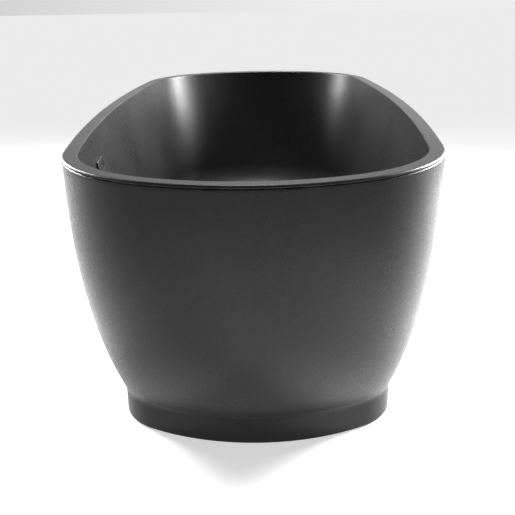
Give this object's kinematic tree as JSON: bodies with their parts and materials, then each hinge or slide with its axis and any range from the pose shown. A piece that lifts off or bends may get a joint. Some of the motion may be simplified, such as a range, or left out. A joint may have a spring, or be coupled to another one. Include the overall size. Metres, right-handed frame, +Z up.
{
  "type": "freestanding bathtub",
  "caption": "Oval freestanding double-walled bathtub with a flat rim, recessed plinth, overflow, click-clack waste and levelling feet.",
  "frame": {"origin": "on the floor, under the middle of the tub", "axes": "+Z up, X along the tub's length with +X at the foot end, nearest the waste and the overflow, and Y across its width"},
  "size_m": [1.7, 0.8, 0.58],
  "materials": {
    "shell": "matt black acrylic with a fine grain",
    "black_metal": "satin black plated",
    "zinc": "bright zinc plated",
    "frame_paint": "black powder coat",
    "plywood": "bare plywood sealed with resin",
    "rubber": "matt",
    "white_plastic": "moulded satin",
    "grey_plastic": "rigid pipe, satin",
    "sealant": "cured adhesive"
  },
  "bodies": {
    "tub": {"basin": "shell", "outer_skirt": "shell", "rim_bonding_bead": "sealant", "base_board": "plywood", "frame_rail_left": "frame_paint", "frame_rail_right": "frame_paint", "cross_member_head": "frame_paint", "cross_member_middle": "frame_paint", "cross_member_foot": "frame_paint", "skirt_bracket_head_left": "zinc", "skirt_bracket_head_right": "zinc", "skirt_bracket_foot_left": "zinc", "skirt_bracket_foot_right": "zinc", "frame_screw_1": "zinc", "frame_screw_2": "zinc", "frame_screw_3": "zinc", "frame_screw_4": "zinc", "frame_screw_5": "zinc", "frame_screw_6": "zinc", "foot_lock_nut_1": "zinc", "foot_lock_nut_2": "zinc", "foot_lock_nut_3": "zinc", "foot_lock_nut_4": "zinc", "foot_lock_nut_5": "zinc", "waste_flange": "black_metal", "waste_seal_top": "rubber", "waste_seal_bottom": "rubber", "waste_back_nut": "white_plastic", "trap_nut": "white_plastic", "trap_body": "white_plastic", "trap_cleaning_cap": "white_plastic", "outlet_nut": "white_plastic", "outlet_bend": "white_plastic", "overflow_cover": "black_metal", "overflow_housing": "white_plastic", "overflow_seal": "rubber", "overflow_pipe": "grey_plastic"},
    "foot_1": {"foot_pad_1": "rubber", "foot_stud_1": "zinc"},
    "foot_2": {"foot_pad_2": "rubber", "foot_stud_2": "zinc"},
    "foot_3": {"foot_pad_3": "rubber", "foot_stud_3": "zinc"},
    "foot_4": {"foot_pad_4": "rubber", "foot_stud_4": "zinc"},
    "foot_5": {"foot_pad_5": "rubber", "foot_stud_5": "zinc"},
    "plug": {"plug_cap": "black_metal", "plug_seal": "rubber", "plug_stem": "black_metal"}
  },
  "joints": [
    {"name": "foot_1_height", "type": "slide", "parent": "tub", "child": "foot_1", "axis": [0, 0, 1], "range_m": [-0.02, 0.005]},
    {"name": "foot_2_height", "type": "slide", "parent": "tub", "child": "foot_2", "axis": [0, 0, 1], "range_m": [-0.02, 0.005]},
    {"name": "foot_3_height", "type": "slide", "parent": "tub", "child": "foot_3", "axis": [0, 0, 1], "range_m": [-0.02, 0.005]},
    {"name": "foot_4_height", "type": "slide", "parent": "tub", "child": "foot_4", "axis": [0, 0, 1], "range_m": [-0.02, 0.005]},
    {"name": "foot_5_height", "type": "slide", "parent": "tub", "child": "foot_5", "axis": [0, 0, 1], "range_m": [-0.02, 0.005]},
    {"name": "plug_lift", "type": "slide", "parent": "tub", "child": "plug", "axis": [0, 0, 1], "range_m": [0, 0.009]}
  ]
}
